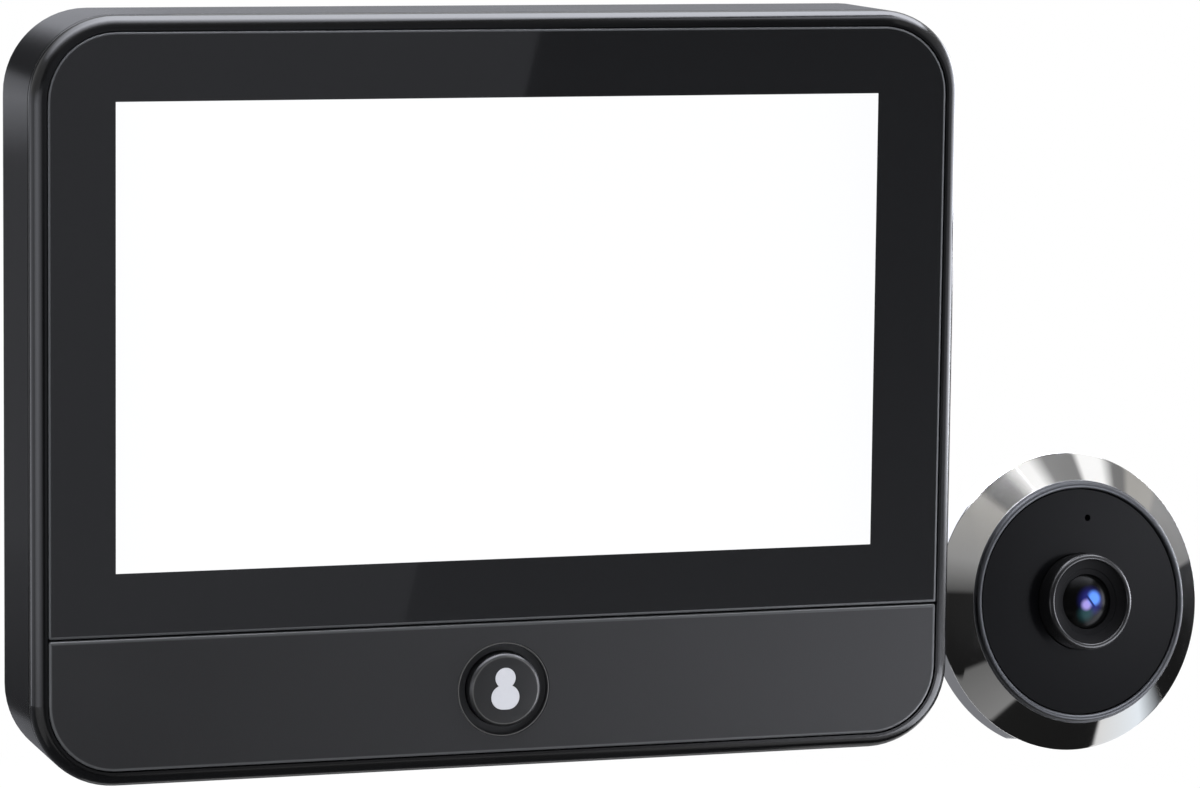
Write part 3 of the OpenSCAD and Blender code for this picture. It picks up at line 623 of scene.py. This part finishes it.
def lens_barrel():
    """The barrel with its rounded rim, and the stepped funnel inside it."""
    rim = [*arc((5.58, 2.28), 0.52, 0, 90, 9), *arc((5.58, 2.52), 0.28, 90, 180, 6)]
    barrel = [(6.1, -1.5), *rim, (5.3, 2.5), (5.3, -2.5), (7.2, -2.5), (7.2, -1.5)]
    shown(turned("lens_barrel_rim", barrel, UNIT),
          "door_fixings", "barrel_black", barrel_black, "lens_barrel")
    baffle = [(5.3, 2.45), (5.1, 2.3), (4.2, 1.95), (4.15, 1.86), (3.5, 1.62), (3.44, 1.5), (3.44, 0.6),
              (3.15, 0.6), (3.15, -2.45), (5.3, -2.45)]
    shown(turned("lens_baffle", baffle, UNIT), "door_fixings", "barrel_black", baffle_black)


def domed_lens():
    radius, rise, top, back, steps = 3.4, 1.1, 2.6, 0.6, 16
    dome = (radius ** 2 + rise ** 2) / (2 * rise)
    angles = [math.asin(radius / dome) * k / steps for k in range(steps + 1)]
    curve = [(dome * math.sin(a), top - dome * (1 - math.cos(a))) for a in angles]
    profile = [(0.0, back), *curve, (radius, back)]
    shown(turned("front_lens_dome", profile, UNIT),
          "door_fixings", "lens_glass", lens_glints, "front_lens")


def threaded_tube():
    """The door tube: a 1 mm thread outside, a smooth bore inside."""
    steps, turns, pitch, radius, depth = 72, 30, 1.0, 7.0, 0.45
    end, face = -40.93, -6.03
    tip = [(6.55, end), (6.55, end + 0.3)]
    crest = [(0.0, 0.0), (0.18, 0.0), (0.48, 1.0), (0.66, 1.0)]
    collar = [(6.95, -8.6), (radius, -8.3), (radius, face)]
    inner = [(6.6, face), (6.6, -4.53), (5.8, -4.53), (5.8, -11.5), (5.2, -11.5), (5.2, -13.9),
             (5.0, -13.9), (5.0, end)]
    lead = len(crest)
    thread_start = len(tip)
    thread_end = thread_start + turns * lead
    count = thread_end + len(collar) + len(inner)
    points, faces = [], []
    for k in range(steps):
        a = 2 * math.pi * k / steps
        thread = [(radius - depth * d, end + 0.9 + pitch * (turn + t + k / steps))
                  for turn in range(turns) for t, d in crest]
        points += [(r * math.cos(a) * MM, r * math.sin(a) * MM, z * MM)
                   for r, z in (*tip, *thread, *collar, *inner)]
    for k in range(steps - 1):
        here, there = k * count, (k + 1) * count
        for j in range(count):
            after = (j + 1) % count
            faces.append((here + j, there + j, there + after, here + after))

    # Where the last row meets the first, the thread has moved on by one turn
    last = list(range((steps - 1) * count, steps * count))
    first = list(range(count))
    for j in range(thread_start, thread_end - lead):
        faces.append((last[j], first[j + lead], first[j + lead + 1], last[j + 1]))
    faces.append((last[0], first[0], first[1], last[1]))
    faces.append((last[1], *first[1:thread_start + lead + 1], last[thread_start]))
    faces.append((*last[thread_end - lead:thread_end + 1][::-1], first[thread_end]))
    for j in range(thread_end, count):
        after = (j + 1) % count
        faces.append((last[j], first[j], first[after], last[after]))
    shown(made("threaded_tube", points, faces, UNIT),
          "door_fixings", "tube_black", tube_black, "camera_tube")


cover_glass()
lower_strip()
button_recess()
button_cap()
chrome_bezel()
lens_barrel()
domed_lens()
threaded_tube()


# Camera

VIEW_PLACE = (-0.183176, -0.619106, 0.086656)
VIEW_SIDE = (0.951506, -0.307437, 0.011495)
VIEW_HEAD = (0.028283, 0.124619, 0.991811)
VIEW_BEHIND = (-0.30635, -0.94338, 0.12727)

view = bpy.data.cameras.new("view")
view.sensor_fit = "HORIZONTAL"
view.sensor_width = 36.0
view.lens = 158.0097
view.clip_start = 0.01
view.clip_end = 50.0
camera = bpy.data.objects.new("view", view)
bpy.context.scene.collection.objects.link(camera)
turn = Matrix((VIEW_SIDE, VIEW_HEAD, VIEW_BEHIND)).transposed().to_4x4()
camera.matrix_world = Matrix.Translation(VIEW_PLACE) @ turn
bpy.context.scene.camera = camera
bpy.context.scene.view_settings.view_transform = "Standard"


# Studio

FLOOR = -0.12
FLOOR_SIZE, FLOOR_SIDES = 12.0, 24
CARD_LIFT = 1 * MM

# Planes of the cards in front of the monitor and behind it, and heights of those at its sides
FAR = -0.35
BACK = 0.10
RIGHT_LOW, RIGHT_HIGH = (-0.095, 0.06), (0.06, 0.24)
LEFT = (-0.118, 0.06)

# Tint of the grey cards, and the tones of the warm and the cool ones
COLD = (0.965, 0.985, 1.07)
WARM_GREY = (0.44, 0.43, 0.41)
COOL_WHITE = (0.92, 0.99, 1.06)

# Cone of the bezel's slope in millimetres: where it starts inside, how it falls outwards, and its middle
SLOPE_RADIUS, SLOPE_HEIGHT, SLOPE_FALL = 15.5, -0.285, 0.789
SLOPE_OUT, SLOPE_FORWARD = 0.619, 0.785
SLOPE_MIDDLE = 17.1

# Gap between the monitor and the bezel, the part of the slope that mirrors what stands in it, by radius
# in millimetres, and the clock angles between which it does
GAP_X = 0.0591
GAP_FRONT, GAP_BACK = -0.0172, 0.004
GAP_REACHES = (14.6, 19.6)
GAP_CLOCKS = range(234, 309)


def floor():
    """A pale floor that keeps the part's shadow and turns white further out."""
    f = Finish("pale_floor", Roughness=0.9)
    f.lay(Base_Color=f.mix(f.grain(300.0, 3.0), 0.80, 0.84))
    lit = f.node("ShaderNodeEmission", None, {"Color": WHITE, "Strength": 1.0})
    plain = Value(f, f.shader.outputs[0])
    x, y = f.axes("XY")
    away = (x * x + y * y).between(0.05, 0.16)
    share = f.background_seen() * (0.55 + 0.45 * away)
    f.show(f.node("ShaderNodeMixShader", None, {0: share, 1: plain, 2: lit}))
    points = [(x, y, FLOOR) for x, y in circle((0.0, 0.0), FLOOR_SIZE, FLOOR_SIDES)]
    ground = made("floor", points, [tuple(range(FLOOR_SIDES))])
    ground.data.materials.append(f.material)


def reflector(name, points, levels, faces=None):
    """A card that only reflections see, with one level or one per point; grey ones are slightly cold."""
    f = Finish(name)
    tone = f.node("ShaderNodeAttribute", {"attribute_name": "level"})
    f.show(f.node("ShaderNodeEmission", None, {"Color": tone, "Strength": 1.0}))
    card = made(name, points, faces or [tuple(range(len(points)))])
    shades = card.data.attributes.new("level", "FLOAT_COLOR", "POINT")
    for k in range(len(points)):
        level = levels[k] if isinstance(levels, list) else levels
        if not isinstance(level, tuple):
            level = tuple(level * tint for tint in COLD)
        shades.data[k].color = colour(level)
    card.data.materials.append(f.material)
    card.visible_camera = False
    card.visible_diffuse = False
    card.visible_shadow = False
    card.visible_transmission = False


def facing_card(name, corners, levels):
    """A card in front of the monitor, from its corners in X and Z."""
    reflector(name, [(x, FAR, z) for x, z in corners], levels)


def upright(name, start, end, heights, levels):
    """A card that stands between two places on the floor plan; its levels start low at the first place."""
    low, high = heights
    reflector(name, [(*start, low), (*end, low), (*end, high), (*start, high)], levels)


def floor_card(name, corners, level):
    """A card that lies on the floor, from its corners in X and Y."""
    reflector(name, [(x, y, FLOOR + CARD_LIFT) for x, y in corners], level)


def square_floor_card(name, across, depths, level):
    (left, right), (near, far) = across, depths
    floor_card(name, [(left, near), (right, near), (right, far), (left, far)], level)


def mirrored(spot, facing):
    """A place on the outdoor camera in millimetres, and the way it reflects the view there."""
    spot = UNIT @ (Vector(spot) * MM)
    facing = (UNIT.to_3x3() @ Vector(facing)).normalized()
    sight = (camera.location - spot).normalized()
    return spot, 2 * facing.dot(sight) * facing - sight


def bezel_mirrors(clock, reach):
    """The same for the bezel's slope, by clock angle and radius."""
    across, up = math.sin(math.radians(clock)), math.cos(math.radians(clock))
    height = SLOPE_HEIGHT - SLOPE_FALL * (reach - SLOPE_RADIUS)
    facing = (SLOPE_OUT * across, SLOPE_OUT * up, SLOPE_FORWARD)
    return mirrored((reach * across, reach * up, height), facing)


def face_card(half, away, levels):
    """A card where the face mirrors it, with its levels anticlockwise from the lower left."""
    corners = [mirrored((x * half, y * half, 0.0), (0.0, 0.0, 1.0))
               for x, y in ((-1, -1), (1, -1), (1, 1), (-1, 1))]
    reflector("face_card", [tuple(spot + away * way) for spot, way in corners], levels)


def far_edges(clock, away, back, front):
    """A point behind and one before what the bezel mirrors at this clock angle, no lower than the floor."""
    spot, way = bezel_mirrors(clock, SLOPE_MIDDLE)
    across = way.cross(bezel_mirrors(clock + 1, SLOPE_MIDDLE)[1] - way).normalized()
    edges = []
    for aim in ((way + back * across).normalized(), (way - front * across).normalized()):
        reach = away if aim.z > -0.02 else min(away, (FLOOR + 2 * CARD_LIFT - spot.z) / aim.z)
        edges.append(tuple(spot + reach * aim))
    return edges


def near_edges(clock):
    """The same on a card that stands in the gap between the monitor and the bezel."""
    edges = []
    for reach in GAP_REACHES:
        spot, way = bezel_mirrors(clock, reach)
        hit = spot + (GAP_X - spot.x) / way.x * way
        edges.append((hit.x, min(max(hit.y, GAP_FRONT), GAP_BACK), hit.z))
    return edges


def bezel_card(name, edges, start, end, first, last):
    """A card along the bezel's mirror path between two clock angles, with a level at each end."""
    points, levels, faces = [], [], []
    degrees_per_step = 5
    steps = max(2, round((end - start) / degrees_per_step))
    for k in range(steps + 1):
        points += edges(start + (end - start) * k / steps)
        tone = Vector(colour(first)).lerp(Vector(colour(last)), k / steps)
        levels += [tuple(tone[:3])] * 2
    for k in range(0, 2 * steps, 2):
        faces.append((k, k + 1, k + 3, k + 2))
    reflector(name, points, levels, faces)


def bezel_cards():
    """The bands in the chrome, by clock angle in degrees, each from one level to the next."""
    bands = [(-2, 1.1), (8, 1.1), (14, 0.21), (19, 0.21), (22, WARM_GREY), (35, WARM_GREY), (38, 0.32),
             (67, 0.22), (69, 0.008), (126, 0.010), (127, 0.03), (140, COOL_WHITE), (162, 0.80),
             (164, 0.010), (210, 0.012), (212, 0.24), (234, 0.15), (236, 0.010), (267, 0.018),
             (269, 0.10), (282, 0.32), (309, WARM_GREY), (313, 0.18), (322, 0.30), (330, 1.1),
             (335, 1.1), (342, 0.27), (355, 0.24), (358, 1.1)]
    # From which clock angle on: the cards' distance, and how far they spread to the back and to the front
    stands = [(-2, 0.035, 0.26, 0.26), (126, 0.10, 0.26, 0.26), (210, 0.16, 0.26, 0.26),
              (234, 0.20, 0.06, 0.17), (267, 0.42, 0.26, 0.26), (282, 0.16, 0.06, 0.26),
              (309, 0.16, 0.06, 0.10), (330, 0.035, 0.26, 0.26)]
    for (start, first), (end, last) in zip(bands, bands[1:]):
        stand = [settings for clock, *settings in stands if clock <= start][-1]
        bezel_card(f"bezel_card_{end}", lambda clock: far_edges(clock, *stand), start, end, first, last)
        if start in GAP_CLOCKS:
            bezel_card(f"near_bezel_card_{end}", near_edges, start, end, first, last)


def overhead_card():
    """The broad card above, brightest in the middle of its depth, fading to the left."""
    height = 0.60
    widths = [(-0.90, 0.12), (0.0, 1.0), (0.80, 1.0)]
    depths = [(-0.66, 1.5), (-0.36, 8.0), (-0.12, 20.0), (0.20, 11.0), (0.55, 3.0)]
    row = len(widths)
    faces = [(row * j + k, row * j + k + 1, row * (j + 1) + k + 1, row * (j + 1) + k)
             for j in range(len(depths) - 1) for k in range(row - 1)]
    reflector("overhead_card", [(x, y, height) for y, level in depths for x, share in widths],
              [level * share for y, level in depths for x, share in widths], faces)


def softbox(name, place, aim, width, height, radiance):
    lamp = bpy.data.lights.new(name, "AREA")
    lamp.shape = "RECTANGLE"
    lamp.size = width
    lamp.size_y = height
    lamp.energy = radiance * math.pi * width * height
    box = bpy.data.objects.new(name, lamp)
    bpy.context.scene.collection.objects.link(box)
    box.location = place
    box.rotation_euler = (Vector(aim) - Vector(place)).to_track_quat("-Z", "Y").to_euler()
    box.visible_glossy = False


def white_air():
    """A white world: full white for the background, softer on the part."""
    world = bpy.data.worlds.new("studio")
    bpy.context.scene.world = world
    world.use_nodes = True
    air = Wiring(world.node_tree)
    background = world.node_tree.nodes["Background"]
    air.feed(background.inputs["Color"], WHITE)
    air.feed(background.inputs["Strength"], 0.60 + 0.40 * air.background_seen())


floor()
white_air()
softbox("top_softbox", (0.15, 0.12, 0.65), (0.05, -0.02, 0.0), 0.60, 0.46, 9.0)
softbox("right_softbox", (0.70, -0.46, 0.26), (0.05, -0.02, -0.01), 0.34, 0.34, 6.0)
softbox("left_softbox", (-0.76, -0.42, 0.08), (-0.05, -0.02, 0.0), 0.46, 0.40, 2.6)

# In front, for the slanted reflection in the glass and the shine of the strip
facing_card("glare_card", [(-0.116, -0.083), (0.0811, -0.083), (0.1578, 0.25), (-0.116, 0.25)], 0.43)
facing_card("front_card", [(0.0811, -0.083), (0.215, -0.083), (0.215, 0.03), (0.1071, 0.03)],
            [0.26, 0.26, 0.09, 0.09])
facing_card("front_high_card", [(0.1071, 0.03), (0.215, 0.03), (0.215, 0.25), (0.1578, 0.25)], 0.08)
upright("front_side_card", (0.215, FAR), (0.36, FAR), (-0.083, 0.10), [0.20, 2.2, 2.2, 0.20])
upright("strip_left_card", (-0.116, FAR), (0.12, FAR), (-0.118, -0.083), 0.16)
upright("strip_right_card", (0.12, FAR), (0.30, FAR), (-0.118, -0.083), [0.16, 2.0, 2.0, 0.16])

# At the sides, for the rims
upright("right_rim_card", (0.51, -0.37), (0.65, 0.09), RIGHT_LOW, [3.0, 20.0, 20.0, 3.0])
upright("right_back_card", (0.65, 0.09), (0.50, 0.45), RIGHT_LOW, [20.0, 9.0, 9.0, 20.0])
upright("right_rim_high_card", (0.51, -0.37), (0.65, 0.09), RIGHT_HIGH, [3.0, 20.0, 2.0, 1.0])
upright("right_back_high_card", (0.65, 0.09), (0.50, 0.45), RIGHT_HIGH, [20.0, 9.0, 2.0, 2.0])
upright("left_front_card", (-0.139, -0.48), (-0.40, -0.29), LEFT, [0.70, 4.8, 4.8, 0.70])
upright("left_rim_card", (-0.40, -0.29), (-0.55, -0.105), LEFT, [4.8, 3.4, 3.4, 4.8])
upright("left_back_card", (-0.55, -0.105), (-0.44, 0.30), LEFT, 1.6)
upright("left_edge_card", (-0.44, 0.30), (-0.22, 0.38), LEFT, [2.8, 2.8, 0.8, 0.8])

# Behind, for the left wall from its foot to its corner, and for the top
upright("left_low_card", (-0.06, BACK), (-0.128, BACK), (-0.062, -0.03), [0.04, 0.04, 0.10, 0.10])
upright("left_card", (-0.06, BACK), (-0.128, BACK), (-0.03, 0.0258), 0.115)
upright("left_spot_card", (-0.06, BACK), (-0.128, BACK), (0.0258, 0.034), [0.115, 0.115, 0.48, 0.48])
upright("left_high_card", (-0.066, BACK), (-0.128, BACK), (0.034, 0.047), [0.48, 0.48, 0.34, 0.34])
upright("left_end_card", (-0.066, BACK), (-0.128, BACK), (0.047, 0.052), [0.34, 0.34, 0.05, 0.05])
upright("corner_card", (-0.066, BACK), (-0.128, BACK), (0.052, 0.12), 0.05)
upright("corner_edge_card", (-0.05, BACK), (-0.066, BACK), (0.0368, 0.12), [0.72, 0.04, 0.04, 0.72])
upright("crown_corner_card", (-0.012, BACK), (-0.05, BACK), (0.0368, 0.12), [0.42, 0.72, 0.72, 0.42])
upright("top_card", (0.60, 0.45), (0.04, 0.45), (0.022, 0.18), [0.39, 0.42, 0.42, 0.39])
upright("side_card", (-0.02, 0.022), (0.10, 0.022), (-0.045, 0.045), 1.25)

# Above and on the floor
overhead_card()
floor_card("left_floor_card", [(-0.06, -0.05), (-0.06, 0.45), (-0.60, 0.25), (-0.60, -0.05)], 0.25)
square_floor_card("front_floor_card", (-0.14, 0.066), (-0.20, 0.0), 0.14)
square_floor_card("right_floor_card", (0.14, 0.42), (-0.345, -0.04), 11.0)
square_floor_card("back_floor_card", (-0.30, 0.11), (0.04, 0.50), 0.22)

# Round the outdoor camera
face_card(19.0, 0.10, [0.02, 0.40, 4.6, 0.40])
bezel_cards()
